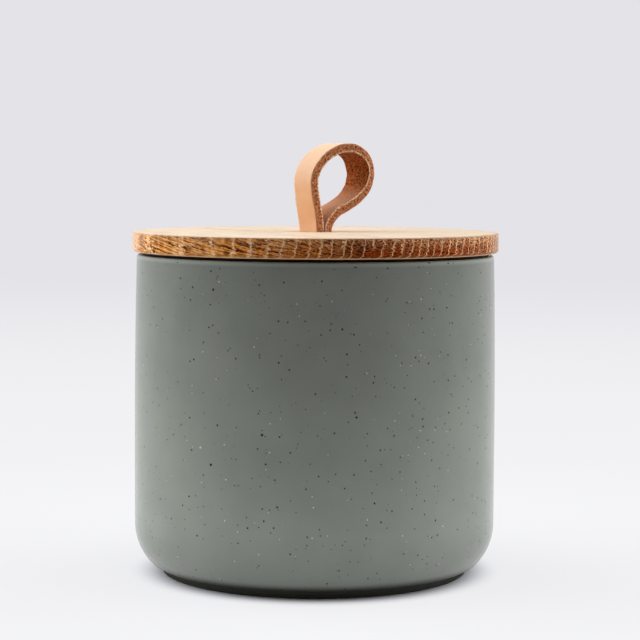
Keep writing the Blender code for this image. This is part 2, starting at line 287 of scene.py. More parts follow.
inner_floor = foot_height + floor_thickness
rim_radius = jar_radius - mouth_draw
mouth_radius = rim_radius - jar_wall
corner_centre = (jar_radius - corner_run, corner_rise)
corner_end = -math.degrees(math.asin(1 - foot_height / corner_rise))
skirt_radius = corner_centre[0] + corner_run * math.cos(math.radians(corner_end))
foot_radius = skirt_radius - foot_undercut
ring_inner = foot_radius - foot_ring_width
roll_centre = (skirt_radius - glaze_roll, foot_height + glaze_roll)
draw_start = jar_height - draw_height
section = [(mouth_radius * share, inner_floor) for share in (0.0, 0.25, 0.5, 0.7)]
section += arc((mouth_radius - inner_corner, inner_floor + inner_corner), inner_corner, -90, 0, 24)
for step in range(1, 7):
    section.append((mouth_radius, inner_floor + inner_corner + 0.1 * step * jar_height))
section += arc(
    (mouth_radius + rim_inner_round, jar_height - rim_inner_round), rim_inner_round, 180, 90, 10
)
section += arc((rim_radius - rim_outer_round, jar_height - rim_outer_round), rim_outer_round, 90, 0, 12)
wall_steps = 24
for step in range(1, wall_steps + 1):
    height = jar_height - rim_outer_round
    height += (draw_start - height) * step / wall_steps
    section.append((jar_radius - mouth_draw * ((height - draw_start) / draw_height) ** 2, height))
section += arc(corner_centre, (corner_run, corner_rise), 0, corner_end + 5, 30)
section += arc(roll_centre, glaze_roll, -40, -90, 8)
section += arc((foot_radius + glaze_roll, foot_height - glaze_roll), glaze_roll, 90, 180, 6)
section += arc((foot_radius - foot_round, foot_round), foot_round, 0, -90, 6)
section += arc((ring_inner + foot_round, foot_round), foot_round, 270, 180, 6)
section += arc((ring_inner - glaze_roll, foot_height - glaze_roll), glaze_roll, 0, 90, 6)
section += [(ring_inner * share, foot_height) for share in (0.7, 0.35, 0.0)]
glazed_jar = turned("jar_glazed", section, satin_sage_glaze(), steps_round)
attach(glazed_jar, "jar")
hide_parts("jar")


# The seal: one moulding of dark silicone. Its lip lies on the rim under the lid, its sleeve is
# stretched over the plug, and three thin fins wipe the mouth of the jar. A gap of 0.3 mm keeps the
# pieces that press on each other apart.
seal_low, seal_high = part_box("seal_ring")
gap = 0.3 * MM
seal_space = 5.0 * MM
plug_radius = mouth_radius - seal_space
lip_thickness = 0.5 * MM
lip_round = 0.2 * MM
sleeve_thickness = 1.6 * MM
sleeve_inner = plug_radius + gap
sleeve_outer = sleeve_inner + sleeve_thickness
lip_top = seal_high.z
lip_under = lip_top - lip_thickness
fin_tip = mouth_radius - gap
fin_thickness = 0.6 * MM
fin_lift = 0.5 * MM
fin_pitch = (lip_under - seal_low.z) / 3.5


def dark_silicone():
    """Moulded silicone rubber, cured with a fine matt mould finish: dark, soft edged, no gloss."""
    material, add, mm = new_material("dark_silicone_matt")
    dust = add("TexNoise", {"Vector": mm, "Scale": 1 / 2.5, "Detail": 4.0})
    # Its near-black colour is partly painted shade: it makes the lip between lid and rim read as the
    # dark gap there.
    colour = add("Mix", {0: dust, 6: "#131312", 7: "#1B1A19"}, **rgba)
    relief = add("TexNoise", {"Vector": mm, "Scale": 1 / 0.25, "Detail": 1.0})
    relief = add("Bump", {"Strength": 0.4, "Distance": 0.02 * MM, "Height": relief})
    looks = {"Base Color": colour, "Roughness": 0.62, "IOR": 1.41, "Normal": relief}
    add("OutputMaterial", {"Surface": add("BsdfPrincipled", looks)})
    return material


section = [(sleeve_inner, lip_top), (seal_high.x - lip_round, lip_top)]
section += arc(
    (seal_high.x - lip_thickness / 2, (lip_top + lip_under) / 2), lip_thickness / 2, 80, -80, 6
)
section.append((sleeve_outer, lip_under))
for fin in (1, 2, 3):
    root = lip_under - fin * fin_pitch
    section.append((sleeve_outer, root + fin_thickness))
    tip = (fin_tip - fin_thickness / 4, root + fin_lift)
    section += arc(tip, fin_thickness / 4, 80, -80, 6)
    section.append((sleeve_outer, root - fin_thickness))
section += [(sleeve_outer, seal_low.z), (sleeve_inner, seal_low.z)]
silicone_seal = turned("seal_moulded", section, dark_silicone(), steps_round, closed=True)
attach(silicone_seal, "seal")
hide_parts("seal_ring")


# The lid: one flat-sawn oak board turned to a disc with a plug below, slotted through the middle
# for the strap, then sanded at the edges and oiled. End grain drinks the oil and goes darker.
lid_low, lid_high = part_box("lid_board")
lid_radius = lid_high.x
lid_top = lid_high.z
lid_under = lip_top + gap
plug_bottom = lid_low.z
bead_height = 2.0 * MM
bead_reach = 0.9 * MM
top_round = 0.6 * MM
under_round = 1.4 * MM
bead_round = 0.8 * MM
slot_half = 4.1 * MM
slot_length = 12.4 * MM
slot_bend_round = 1.5 * MM
tail_reach = 26.0 * MM
channel_spare = 0.6 * MM
channel_depth = 6.7 * MM
channel_ceiling = plug_bottom + channel_depth


def oiled_oak():
    """Solid oak with an oil finish, drawn in the round, so that end grain, edge and top agree. It
    gives the eye open pores as dots or dark lines, pale wavy rays across the rings, dark end grain,
    a pale sanded top and a pale line along the lower arris. Pores are drawn two to three times as
    wide as they are, so that they show."""
    material, add, mm = new_material("oak_flat_sawn_oiled")
    end_share, facing = (
        add("Attribute", attribute_name=name).node.outputs["Fac"] for name in ("end_grain", "upward")
    )
    upward = add("MapRange", {0: facing})
    level_face = add("Math", {0: facing}, operation="ABSOLUTE")
    middle = (0.0, 0.0, (lid_top + lid_under) / 2 / MM)
    centre = add("VectorMath", {0: mm, 1: middle}, operation="SUBTRACT")

    sway = add("VectorMath", {0: centre, 1: (1 / 38, 1 / 90, 1 / 38)}, **times)
    sway = add("TexNoise", {"Vector": sway, "Scale": 1.0, "Detail": 2.0}).node
    sway = add("VectorMath", {0: sway.outputs["Color"], 1: (0.5, 0.5, 0.5)}, operation="SUBTRACT")
    sway = add("VectorMath", {0: sway, 1: (7, 0, 5), 2: centre}, **times_plus)
    axes = add("SeparateXYZ", {0: sway}).node
    # On the lid's edge the rings drop 0.20 mm in each mm along Y; on its flat faces the fibre lies
    # almost level, so that the pores run long. The pith lay to the left and far below.
    pith_left, pith_below = 73.0, 420.0
    pith_away = 432.0
    along = axes.outputs["Y"]
    climb = add("MapRange", {0: level_face, 3: -0.20, 4: -0.02})
    level = add("Math", {0: along, 1: climb, 2: axes.outputs["Z"]}, **times_plus)
    level = add("Math", {0: level, 1: pith_below})
    across = add("Math", {0: axes.outputs["X"], 1: pith_left})
    turn = add("Math", {0: across, 1: level}, operation="ARCTAN2")
    tangent = add("Math", {0: turn, 1: pith_away}, **times)
    radial = add("CombineXYZ", {0: across, 1: level})
    radial = add("VectorMath", {0: radial}, operation="LENGTH").node.outputs["Value"]
    wood = add("CombineXYZ", {0: tangent, 1: radial, 2: along})
    crimp = add("VectorMath", {0: wood, 1: (1 / 4.0, 1 / 0.9, 1 / 2.5)}, **times)
    crimp = add("TexNoise", {"Vector": crimp, "Scale": 1.0, "Detail": 2.0}).node
    crimp = add("SeparateColor", {0: crimp.outputs["Color"]}).node
    radial = add("Math", {0: crimp.outputs[0], 1: 1.3, 2: radial}, **times_plus)
    wavy = add("Math", {0: crimp.outputs[1], 1: 2.6, 2: tangent}, **times_plus)

    # Growth rings: open spring wood over the first part, dense summer wood after it.
    ring_width = 1.8
    pace = add("TexNoise", {"W": radial, "Scale": 1 / 4, "Detail": 1.0}, noise_dimensions="1D")
    ring = add("Math", {0: pace, 1: 3.2, 2: radial}, **times_plus)
    ring = add("Math", {0: ring, 1: 1 / ring_width}, **times)
    ring = add("Math", {0: ring}, operation="FRACT")
    spring = add("MapRange", {0: ring, 1: 0.26, 2: 0.40, 3: 1.0, 4: 0.0}, **eased)
    onset = add("MapRange", {0: ring, 1: 0.0, 2: 0.07}, **eased)
    spring = add("Math", {0: spring, 1: onset}, **times)
    # Noise stretched with the wood: the size of its grains in mm across, through and along, its
    # detail, where it starts and is full, and what it gives there. Thin and full rings come first,
    # then warmer patches, pale streaks, torn fibre, and bands where the grain dips.
    noises = []
    for place, sizes, detail, low, high, least, most in (
        (wood, (7, 2.2, 9), 2.0, 0.36, 0.58, 0.25, 1.0),
        (centre, (16, 45, 16), 3.0, 0.3, 0.7, 0.0, 1.0),
        (wood, (2.0, 0.65, 16), 3.0, 0.40, 0.58, 0.0, 1.0),
        (wood, (1.2, 0.45, 2.5), 1.0, 0.56, 0.64, 0.0, 0.85),
        (wood, (60, 25, 3.2), 2.0, 0.42, 0.68, 0.0, 0.55),
    ):
        sizes = [1 / size for size in sizes]
        noise = add("VectorMath", {0: place, 1: sizes}, **times)
        noise = add("TexNoise", {"Vector": noise, "Scale": 1.0, "Detail": detail})
        noises.append(add("MapRange", {0: noise, 1: low, 2: high, 3: least, 4: most}))
    lean, patch, streak, torn, band = noises
    spring = add("Math", {0: spring, 1: lean}, **times)

    # Pores run with the fibre. Wide ones crowd the spring wood and fine ones lie anywhere: their
    # spacing and length in mm, their radius as a share of the spacing, and their part in dense wood.
    pores = 0.0
    for spacing, length, reach, dense_share in ((0.95, 26.0, 0.36, 0.15), (0.70, 12.0, 0.34, 0.60)):
        cell = add("VectorMath", {0: wood, 1: (1 / spacing, 1 / spacing, 1 / length)}, **times)
        vessel = add("TexVoronoi", {"Vector": cell, "Scale": 1.0})
        vessel = {0: vessel, 1: reach * 0.6, 2: reach, 3: 1.0, 4: 0.0}
        vessel = add("MapRange", vessel, **eased)
        crowd = add("MapRange", {0: spring, 3: dense_share, 4: 1.0})
        vessel = add("Math", {0: vessel, 1: crowd}, **times)
        pores = add("Math", {0: pores, 1: vessel}, operation="MAXIMUM")

    # Rays are thin sheets that stand across the rings: spacing and half thickness in mm, the part
    # of the wood that has none, and how strongly they show.
    rays = 0.0
    for spacing, thickness, empty, strength in ((1.8, 0.15, 0.30, 1.0), (0.75, 0.07, 0.50, 0.35)):
        drift = add("Math", {0: tangent, 1: 0.6 / spacing}, **times)
        drift = add("TexNoise", {"W": drift, "Scale": 1.0}, noise_dimensions="1D")
        place = add("Math", {0: wavy, 1: 1 / spacing}, **times)
        place = add("Math", {0: drift, 1: 1.1, 2: place}, **times_plus)
        offset = add("Math", {0: place, 1: 1.0}, operation="PINGPONG")
        sheet = {0: offset, 1: thickness / spacing, 2: 2.2 * thickness / spacing, 3: strength, 4: 0.0}
        sheet = add("MapRange", sheet, **eased)
        number = add("Math", {0: place, 1: 1.0}, operation="ROUND")
        parts = ((number, 3.7), (along, 1 / 11), (radial, 1 / 16))
        parts = [add("Math", {0: part, 1: scale}, **times) for part, scale in parts]
        reach = add("CombineXYZ", dict(enumerate(parts)))
        held = add("TexNoise", {"Vector": reach, "Scale": 1.0, "Detail": 1.0})
        held = add("MapRange", {0: held, 1: empty, 2: empty + 0.06}, **eased)
        sheet = add("Math", {0: sheet, 1: held}, **times)
        beads = add("MapRange", {0: crimp.outputs[2], 1: 0.36, 2: 0.62, 3: 0.45, 4: 1.0})
        sheet = add("Math", {0: sheet, 1: beads}, **times)
        rays = add("Math", {0: rays, 1: sheet}, operation="MAXIMUM")

    shades = []
    # Dense wood, its warmer patches, spring wood, darker wood between the streaks, pores, rays and
    # bands, as seen on a face that runs with the fibre, and on end grain towards -X and then +X.
    for dense, warm, open_wood, dark, pore, ray, pale in (
        ("#EEA04E", "#DC8E3C", "#501B00", "#6C2B00", "#300A00", "#FACA94", "#FAC686"),
        ("#FFA040", "#EC8224", "#762400", "#641A00", "#360A00", "#FFD29A", "#FFC07E"),
        ("#A23A02", "#862C00", "#541600", "#3C0E00", "#260600", "#FFC488", "#A6460E"),
    ):
        shade = add("Mix", {0: patch, 6: dense, 7: warm}, **rgba)
        shade = add("Mix", {0: streak, 6: dark, 7: shade}, **rgba)
        for share, tint in ((band, pale), (spring, open_wood), (pores, pore), (rays, ray)):
            shade = add("Mix", {0: share, 6: shade, 7: tint}, **rgba)
        shades.append(shade)
    ended = add("MapRange", {0: end_share, 1: 0.04, 2: 0.62}, **eased)
    darker = add("MapRange", {0: axes.outputs["X"], 1: -62.0, 2: -22.0}, **eased)
    end_shade = add("Mix", {0: darker, 6: shades[1], 7: shades[2]}, **rgba)
    colour = add("Mix", {0: ended, 6: shades[0], 7: end_shade}, **rgba)
    # A painted reflection: the rim is painted paler and greyer at two opposite sides, where its side is
    # seen at a flat angle and reflects the bright tent. The columns give how far out it starts and
    # where it is full, in mm along a line across the lid, then its share and its colour.
    outwards = add("VectorMath", {0: centre, 1: (0.80, -0.60, 0.0)}, operation="DOT_PRODUCT")
    outwards = outwards.node.outputs["Value"]
    for start, full, share, tint in ((-64.5, -72.0, 0.5, "#FAD8B4"), (67.5, 71.5, 0.5, "#908A82")):
        painted_edge_reflection = add("MapRange", {0: outwards, 1: start, 2: full, 3: 0.0, 4: share})
        colour = add("Mix", {0: painted_edge_reflection, 6: colour, 7: tint}, **rgba)
    # Flecks of torn fibre show pale on the upper part of the end grain.
    height = add("SeparateXYZ", {0: mm}).node.outputs["Z"]
    low, high, reach = lid_under / MM, lid_top / MM, lid_radius / MM
    above = add("MapRange", {0: height, 1: low + 2.5, 2: high - 0.8})
    upper = add("Math", {0: above, 1: 0.22}, operation="MAXIMUM")
    torn = add("Math", {0: torn, 1: upper}, **times)
    fringed = add("Math", {0: ended, 1: 0.35}, operation="MAXIMUM")
    torn = add("Math", {0: torn, 1: fringed}, **times)
    colour = add("Mix", {0: torn, 6: colour, 7: "#F2BC82"}, **rgba)
    # A pale net of frayed fibre lies on the end grain, most of it high up and towards +X.
    mesh = add("VectorMath", {0: wood, 1: (1 / 1.5, 1 / 1.0, 1 / 4)}, **times)
    mesh = add("TexVoronoi", {"Vector": mesh, "Scale": 1.0}, feature="DISTANCE_TO_EDGE")
    mesh = add("MapRange", {0: mesh, 1: 0.04, 2: 0.13, 3: 1.0, 4: 0.0})
    frayed = add("MapRange", {0: axes.outputs["X"], 1: -35.0, 2: 40.0, 3: 0.15, 4: 1.0})
    rightmost = add("MapRange", {0: axes.outputs["X"], 1: 10.0, 2: 50.0, 3: 0.0, 4: 0.75})
    above = add("Math", {0: above, 1: rightmost}, operation="MAXIMUM")
    frayed = add("Math", {0: frayed, 1: above}, **times)
    frayed = add("Math", {0: frayed, 1: ended}, **times)
    mesh = add("Math", {0: mesh, 1: frayed}, **times)
    colour = add("Mix", {0: mesh, 6: colour, 7: "#E2B280"}, **rgba)
    # The sanded top is paler. It is painted browner towards +X: painted shade, as more light falls on
    # its -X side. A thin pale line is drawn along the lower arris of the rim.
    sanded = add("Mix", {0: streak, 6: "#CAB393", 7: "#D4BFA1"}, **rgba)
    painted_top_shade = add("MapRange", {0: axes.outputs["X"], 1: -60.0, 2: 60.0, 3: 0.0, 4: 0.3})
    sanded = add("Mix", {0: painted_top_shade, 6: sanded, 7: "#B49E80"}, **rgba)
    faint = add("Math", {0: spring, 1: 0.13}, **times)
    faint = add("Math", {0: pores, 1: 0.16, 2: faint}, **times_plus)
    sanded = add("Mix", {0: faint, 6: sanded, 7: shades[0]}, **rgba)
    colour = add("Mix", {0: upward, 6: colour, 7: sanded}, **rgba)
    arris = {0: height, 1: low + 0.30, 2: low + 0.65, 3: 0.8, 4: 0.0}
    arris = add("MapRange", arris, **eased)
    rim = add("VectorMath", {0: mm, 1: (1.0, 1.0, 0.0)}, **times)
    rim = add("VectorMath", {0: rim}, operation="LENGTH").node.outputs["Value"]
    rim = add("MapRange", {0: rim, 1: reach - 1.6, 2: reach - 1.2})
    arris = add("Math", {0: arris, 1: rim}, **times)
    colour = add("Mix", {0: arris, 6: colour, 7: "#D9AB80"}, **rgba)
    roughness = add("MapRange", {0: pores, 3: 0.45, 4: 0.75})
    sheen = add("MapRange", {0: upward, 3: 0.0, 4: 0.34})
    # Loose fibre on the turned side shows pale where it is seen at a flat angle.
    dusty = add("MapRange", {0: upward, 1: 0.0, 2: 0.5, 3: 0.40, 4: 0.0})
    grooves = add("Math", {0: pores, 1: -0.10}, **times)
    grooves = add("Math", {0: rays, 1: 0.03, 2: grooves}, **times_plus)
    relief = add("Bump", {"Strength": 0.8, "Distance": MM, "Height": grooves})
    looks = {"Base Color": colour, "Roughness": roughness, "IOR": 1.48, "Specular IOR Level": sheen}
    looks |= {"Sheen Weight": dusty, "Sheen Roughness": 0.22, "Normal": relief}
    add("OutputMaterial", {"Surface": add("BsdfPrincipled", looks)})
    return material


def prism(name, outline, thickness):
    """A closed block: an outline in the XZ plane made thick along Y."""
    shape = bmesh.new()
    near = [shape.verts.new((x, -thickness / 2, z)) for x, z in outline]
    made = bmesh.ops.extrude_face_region(shape, geom=[shape.faces.new(near)])
    moved = [part for part in made["geom"] if isinstance(part, bmesh.types.BMVert)]
    bmesh.ops.translate(shape, vec=(0.0, thickness, 0.0), verts=moved)
    bmesh.ops.recalc_face_normals(shape, faces=shape.faces)
    mesh = bpy.data.meshes.new(name)
    shape.to_mesh(mesh)
    shape.free()
    return new_object(name, mesh)


def cut(piece, cutter):
    """Takes the cutter out of the piece and removes the cutter."""
    boolean = piece.modifiers.new("Cut", "BOOLEAN")
    boolean.operation = "DIFFERENCE"
    boolean.solver = "EXACT"
    boolean.object = cutter
    made = plain_mesh(piece, piece.name)
    bpy.data.objects.remove(cutter, do_unlink=True)
    return made


oak = oiled_oak()
section = [(share * lid_radius, lid_top) for share in (0.0, 0.2, 0.4, 0.6, 0.8, 0.95)]
section += arc((lid_radius - top_round, lid_top - top_round), top_round, 90, 0, 8)
section += arc((lid_radius - under_round, lid_under + under_round), under_round, 0, -90, 10)
section += [(plug_radius, lid_under), (plug_radius, plug_bottom + bead_height)]
section.append((plug_radius + bead_reach, plug_bottom + bead_height))
section += arc((plug_radius + bead_reach - bead_round, plug_bottom + bead_round), bead_round, 0, -90, 8)
section += [(share * plug_radius, plug_bottom) for share in (0.8, 0.5, 0.2, 0.0)]
oak_lid = turned("lid_turned", section, oak, steps_round)
bend_centre = (slot_half + slot_bend_round, channel_ceiling + slot_bend_round)
clear = 2.0 * MM
right = [(slot_half, lid_top + clear)]
right += arc(bend_centre, slot_bend_round, 180, 270, 10)
channel_end = tail_reach + channel_spare
right += [(channel_end, channel_ceiling), (channel_end, plug_bottom - clear)]
outline = right + [(-x, z) for x, z in reversed(right)]
oak_lid = cut(oak_lid, prism("slot_cutter", outline, slot_length))
oak_lid.name = "lid_turned"
normals = np.array([vertex.normal for vertex in oak_lid.data.vertices])
end_grain = oak_lid.data.attributes.new("end_grain", "FLOAT", "POINT")
end_grain.data.foreach_set("value", (normals[:, 1] ** 2).astype(np.float32))
upward = oak_lid.data.attributes.new("upward", "FLOAT", "POINT")
upward.data.foreach_set("value", normals[:, 2].astype(np.float32))
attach(oak_lid, "lid")
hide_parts("lid_board")


# The strap: one length of vegetable-tanned leather, 12 mm wide and 3.8 mm thick, with the smooth
# grain side out. Both ends go down the slot, bend under the plug and are screwed there.
strap_width = 12.0 * MM
strap_thickness = 3.8 * MM
edge_round = 0.55 * MM
path_step = 0.30 * MM
nap_height = 0.6 * MM
loop_height = 35.2 * MM
loop_reach = 22.4 * MM
bend_spare = 0.45 * MM
leg_centre = (strap_thickness + gap) / 2
tail_height = channel_ceiling - gap - strap_thickness / 2
tail_bend = slot_bend_round + bend_spare + strap_thickness / 2
# The loop's middle line: shares of its reach across and of its height, and the twist in degrees
loop_shares = (
    (-0.139, 0.238, -2),
    (-0.194, 0.430, 1),
    (-0.199, 0.625, 1),
    (-0.041, 0.790, -1),
    (0.210, 0.901, -1),
    (0.507, 0.946, 0),
    (0.801, 0.897, 5),
    (0.979, 0.744, 16),
    (0.975, 0.551, 11),
    (0.798, 0.394, 2),
    (0.539, 0.290, 0),
    (0.266, 0.200, 0),
)


def natural_leather():
    """Vegetable-tanned cow hide, undyed. The grain side is smooth and peach coloured with a soft
    sheen, the cut edge shows matted red-brown fibre with a paler skin, and the flesh side is brown
    and napped."""
    material, add, mm = new_material("vegetable_tanned_leather_natural")
    depth, width, along, rise = (
        add("Attribute", attribute_name=name).node.outputs["Fac"]
        for name in ("depth", "across", "along", "rise")
    )
    parts = ((along, 1 / MM), (width, strap_width / 2 / MM), (depth, strap_thickness / MM))
    parts = [add("Math", {0: part, 1: scale}, **times) for part, scale in parts]
    flat = add("CombineXYZ", dict(enumerate(parts)))
    # Noise on the leather: the size of its grains in mm, its detail and roughness, where it starts
    # and is full, and the least that it gives. It makes clouds of tone, flecks of fibre and nap.
    noises = []
    for size, detail, harshness, low, high, least in (
        (9, 3.0, 0.5, 0.3, 0.7, 0.0),
        (0.7, 2.0, 0.5, 0.42, 0.54, 0.15),
        (1.0, 4.0, 0.65, 0.36, 0.64, 0.0),
    ):
        noise = {"Vector": flat, "Scale": 1 / size, "Detail": detail, "Roughness": harshness}
        noise = add("TexNoise", noise)
        noises.append(add("MapRange", {0: noise, 1: low, 2: high, 3: least}))
    tone, flecks, nap = noises
    grain = add("Mix", {0: tone, 6: "#D99E6C", 7: "#E0AB78"}, **rgba)
    # The grain is painted paler on top of the loop: a painted highlight where the light from above
    # falls on it.
    painted_top_highlight = add("MapRange", {0: rise, 1: 16.0 * MM, 2: 34.0 * MM, 3: 0.0, 4: 0.85})
    grain = add("Mix", {0: painted_top_highlight, 6: grain, 7: "#E3C19B"}, **rgba)
    crease = {"Vector": flat, "Scale": 1 / 0.55}
    crease = add("TexVoronoi", crease, feature="DISTANCE_TO_EDGE")
    crease = add("MapRange", {0: crease, 1: 0.0, 2: 0.12, 3: 0.35, 4: 0.0})
    grain = add("Mix", {0: crease, 6: grain, 7: "#CF9466"}, **rgba)
    matted = add("TexNoise", {"Vector": flat, "Scale": 1 / 0.85, "Detail": 4.0, "Roughness": 0.7})
    fibre = add("MapRange", {0: matted, 1: 0.39, 2: 0.61})
    edge = add("Mix", {0: fibre, 6: "#5A200A", 7: "#D68E5E"}, **rgba)
    skin = add("MapRange", {0: depth, 1: 0.10, 2: 0.26, 3: 0.75, 4: 0.0}, **eased)
    edge = add("Mix", {0: skin, 6: edge, 7: "#BC835C"}, **rgba)
    # Pale fuzz lies along the cut edge next to the flesh side, and it is also a painted highlight on
    # that rounded arris.
    pale_fuzz_and_highlight = add("MapRange", {0: depth, 1: 0.72, 2: 0.90}, **eased)
    pale_fuzz_and_highlight = add("Math", {0: pale_fuzz_and_highlight, 1: flecks}, **times)
    edge = add("Mix", {0: pale_fuzz_and_highlight, 6: edge, 7: "#F8D0A8"}, **rgba)
    flesh = add("Mix", {0: nap, 6: "#64290A", 7: "#B8682E"}, **rgba)
    # Low down, the flesh side is painted paler: painted light, where the lower run faces up into the
    # light from above.
    painted_low_light = add("MapRange", {0: rise, 1: 17.0 * MM, 2: 9.0 * MM, 3: 0.0, 4: 0.8})
    flesh = add("Mix", {0: painted_low_light, 6: flesh, 7: "#C4906A"}, **rgba)
    on_flesh = add("MapRange", {0: depth, 1: 0.93, 2: 0.985}, **eased)
    side = add("Math", {0: width}, operation="ABSOLUTE")
    on_edge = add("MapRange", {0: side, 1: 0.935, 2: 0.985}, **eased)
    colour = add("Mix", {0: on_flesh, 6: grain, 7: flesh}, **rgba)
    colour = add("Mix", {0: on_edge, 6: colour, 7: edge}, **rgba)
    fibrous = add("Math", {0: on_edge, 1: on_flesh}, operation="MAXIMUM")
    roughness = add("MapRange", {0: fibrous, 3: 0.44, 4: 0.86})
    swell = add("Math", {0: matted, 1: fibrous}, **times)
    swell = add("Math", {0: swell, 1: 0.35}, **times)
    swell = add("Math", {0: crease, 1: -0.03, 2: swell}, **times_plus)
    relief = add("Bump", {"Strength": 0.8, "Distance": MM, "Height": swell})
    sheen = add("MapRange", {0: fibrous, 3: 0.4, 4: 0.04})
    looks = {"Base Color": colour, "Roughness": roughness, "IOR": 1.47, "Specular IOR Level": sheen}
    looks |= {"Sheen Weight": 0.08, "Sheen Roughness": 0.5, "Normal": relief}
    add("OutputMaterial", {"Surface": add("BsdfPrincipled", looks)})
    return material


def strap_tree():
    """Sweeps a strap's section along its path. For the leather's grain it keeps how far along,
    across, deep and above the lid each point lies. It roughens the cut edges and the flesh side."""
    sizes = ("Step", "Width", "Thickness", "Edge Round", "Roughness")
    inputs = {"Path": "Geometry"} | dict.fromkeys(sizes, "Float") | {"Material": "Material"}
    tree, add, sockets, given = new_tree("strap_on_a_path", inputs)
    on_points = {"data_type": "FLOAT", "domain": "POINT"}
    path = {"Curve": given["Path"], "Length": given["Step"]}
    path = add("GeometryNodeResampleCurve", path, mode="LENGTH")
    path = add("GeometryNodeSetCurveNormal", {"Curve": path}, mode="Z_UP")
    length = add("GeometryNodeSplineParameter").node.outputs["Length"]
    place = add("SeparateXYZ", {0: add("GeometryNodeInputPosition")}).node
    rise = add("Math", {0: place.outputs["Y"], 1: lid_top}, operation="SUBTRACT")
    for name, value in (("along", length), ("rise", rise)):
        path = {"Geometry": path, "Name": name, "Value": value}
        path = add("GeometryNodeStoreNamedAttribute", path, **on_points)
    bar = {"Width": given["Thickness"], "Height": given["Width"]}
    bar = add("GeometryNodeCurvePrimitiveQuadrilateral", bar)
    bar = {"Curve": bar, "Radius": given["Edge Round"], "Count": 3}
    bar = add("GeometryNodeFilletCurve", bar, mode="POLY")
    fine = add("Math", {0: given["Edge Round"], 1: 0.5}, **times)
    bar = add("GeometryNodeResampleCurve", {"Curve": bar, "Length": fine}, mode="LENGTH")
    spot = add("SeparateXYZ", {0: add("GeometryNodeInputPosition")}).node
    deep = add("Math", {0: spot.outputs["X"], 1: given["Thickness"]}, operation="DIVIDE")
    deep = add("Math", {0: deep, 1: 0.5})
    wide = add("Math", {0: spot.outputs["Y"], 1: given["Width"]}, operation="DIVIDE")
    wide = add("Math", {0: wide, 1: 2.0}, **times)
    for name, value in (("depth", deep), ("across", wide)):
        bar = {"Geometry": bar, "Name": name, "Value": value}
        bar = add("GeometryNodeStoreNamedAttribute", bar, **on_points)
    skin = {"Curve": path, "Profile Curve": bar, "Fill Caps": True}
    skin = add("GeometryNodeCurveToMesh", skin)
    kept = {
        name: add("GeometryNodeInputNamedAttribute", {"Name": name}, data_type="FLOAT")
        for name in ("along", "depth", "across")
    }
    edged = add("Math", {0: kept["across"]}, operation="ABSOLUTE")
    edged = add("MapRange", {0: edged, 1: 0.90, 2: 0.98})
    fleshy = add("MapRange", {0: kept["depth"], 1: 0.88, 2: 0.97, 3: 0.0, 4: 0.7})
    fibrous = add("Math", {0: edged, 1: fleshy}, operation="MAXIMUM")
    across = add("Math", {0: kept["across"], 1: strap_width / 2}, **times)
    below = add("Math", {0: kept["depth"], 1: strap_thickness}, **times)
    flat = add("CombineXYZ", {0: kept["along"], 1: across, 2: below})
    matted = {"Vector": flat, "Scale": 1 / (0.9 * MM), "Detail": 3.0, "Roughness": 0.6}
    matted = add("TexNoise", matted)
    matted = add("Math", {0: matted, 1: 0.62}, operation="SUBTRACT")
    push = add("Math", {0: matted, 1: fibrous}, **times)
    push = add("Math", {0: push, 1: given["Roughness"]}, **times)
    push = {0: add("GeometryNodeInputNormal"), "Scale": push}
    push = add("VectorMath", push, operation="SCALE")
    skin = add("GeometryNodeSetPosition", {"Geometry": skin, "Offset": push})
    skin = add("GeometryNodeSetShadeSmooth", {"Geometry": skin})
    skin = add("GeometryNodeRealizeInstances", {"Geometry": skin})
    skin = add("GeometryNodeSetMaterial", {"Geometry": skin, "Material": given["Material"]})
    add("NodeGroupOutput", {"Mesh": skin})
    return tree, sockets


side_path = [(tail_reach, tail_height, "VECTOR", 0)]
side_path += [(tail_reach * 0.5, tail_height, "AUTO", 0)]
side_path += [
    (x, z, "AUTO", 0)
    for x, z in arc((leg_centre + tail_bend, tail_height + tail_bend), tail_bend, 270, 180, 4)
]
side_path += [(leg_centre, lid_top, "AUTO", 0)]
foot = 0.045 * loop_height
path = [(-x, z, kind, twist) for x, z, kind, twist in side_path]
path.append((-leg_centre, lid_top + foot, "AUTO", 0))
for across, up, twist in loop_shares:
    path.append((across * loop_reach, lid_top + up * loop_height, "AUTO", twist))
path.append((leg_centre, lid_top + foot, "AUTO", 0))
path += reversed(side_path)
curve = bpy.data.curves.new("strap_path", "CURVE")
curve.dimensions = "3D"
spline = curve.splines.new("BEZIER")
spline.bezier_points.add(len(path) - 1)
for point, (x, z, kind, twist) in zip(spline.bezier_points, path):
    point.co = (x, z, 0.0)
    point.handle_left_type = kind
    point.handle_right_type = kind
    point.tilt = -math.radians(twist)
spline.resolution_u = 24
source = new_object("strap_path", curve)
strapping, strap_inputs = strap_tree()
values = {"Step": path_step, "Width": strap_width, "Thickness": strap_thickness}
values |= {"Edge Round": edge_round, "Roughness": nap_height, "Material": natural_leather()}
use_tree(source, strapping, strap_inputs, values)
leather_strap = plain_mesh(source, "strap_leather")
leather_strap.data.transform(Matrix.Rotation(math.radians(90), 4, "X"))
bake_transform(leather_strap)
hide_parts("strap_loop", "strap_tail_left", "strap_tail_right")


# The fasteners: a countersunk brass wood screw with a cross recess and a pressed brass cup washer
# hold each tail under the plug.
washer_low, washer_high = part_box("cup_washer_right")
screw_low, screw_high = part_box("tail_screw_right")
screw_place = (washer_low.x + washer_high.x) / 2
washer_radius = (washer_high.x - washer_low.x) / 2
washer_edge = 0.3 * MM
seat_inner = 2.0 * MM
head_radius = (screw_high.x - screw_low.x) / 2
shank_radius = 1.7 * MM
thread_root = 1.25 * MM
thread_pitch = 1.3 * MM
run_out = 3.0 * MM
head_rim = 0.4 * MM
recess_depth = 1.2 * MM
recess_reach = 1.7 * MM
recess_width = 0.75 * MM
recess_taper = 0.45


